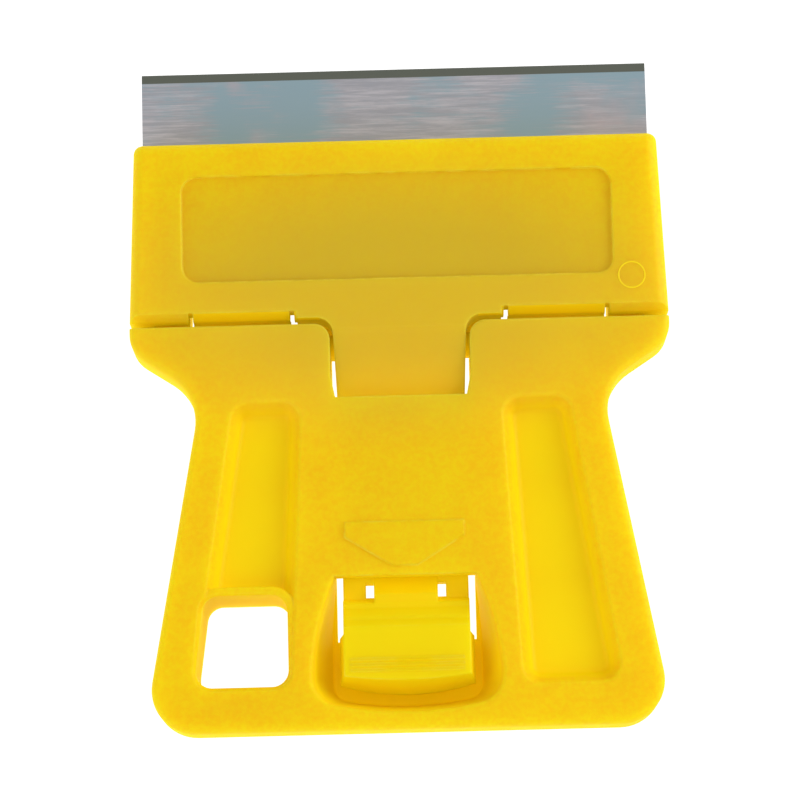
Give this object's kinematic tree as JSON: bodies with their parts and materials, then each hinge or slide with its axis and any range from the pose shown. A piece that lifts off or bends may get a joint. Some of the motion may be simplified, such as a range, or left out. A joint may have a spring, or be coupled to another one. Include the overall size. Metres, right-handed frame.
{
  "type": "hob scraper",
  "caption": "Pocket scraper for glass ceramic hobs: a moulded handle and a press-to-open clamp lever that grip a razor blade, with a hang hole.",
  "frame": {"origin": "middle of the footprint, on the surface that the scraper's back rests on", "axes": "+Z out of the front face, +Y towards the cutting edge, +X to the right seen from the front"},
  "size_m": [0.0408, 0.0514, 0.0082],
  "materials": {
    "handle_plastic": "semi-gloss yellow moulded plastic, slightly translucent, fine orange-peel",
    "lever_plastic": "semi-gloss yellow moulded plastic, slightly translucent, fine orange-peel",
    "blade_steel": "ground blade steel with a darker honed bevel",
    "spine_steel": "pressed sheet steel"
  },
  "bodies": {
    "handle": {"handle": "handle_plastic", "blade": "blade_steel", "blade_spine": "spine_steel"},
    "clamp_lever": {"clamp_lever": "lever_plastic"}
  },
  "joints": [
    {"name": "lever_press", "type": "hinge", "parent": "handle", "child": "clamp_lever", "pos_m": [0, 0.00394, 0.0034], "axis": [1, 0, 0], "range_deg": [0, 4.5], "stiffness_Nm_per_rad": 1.5, "springref_deg": -2.86}
  ]
}
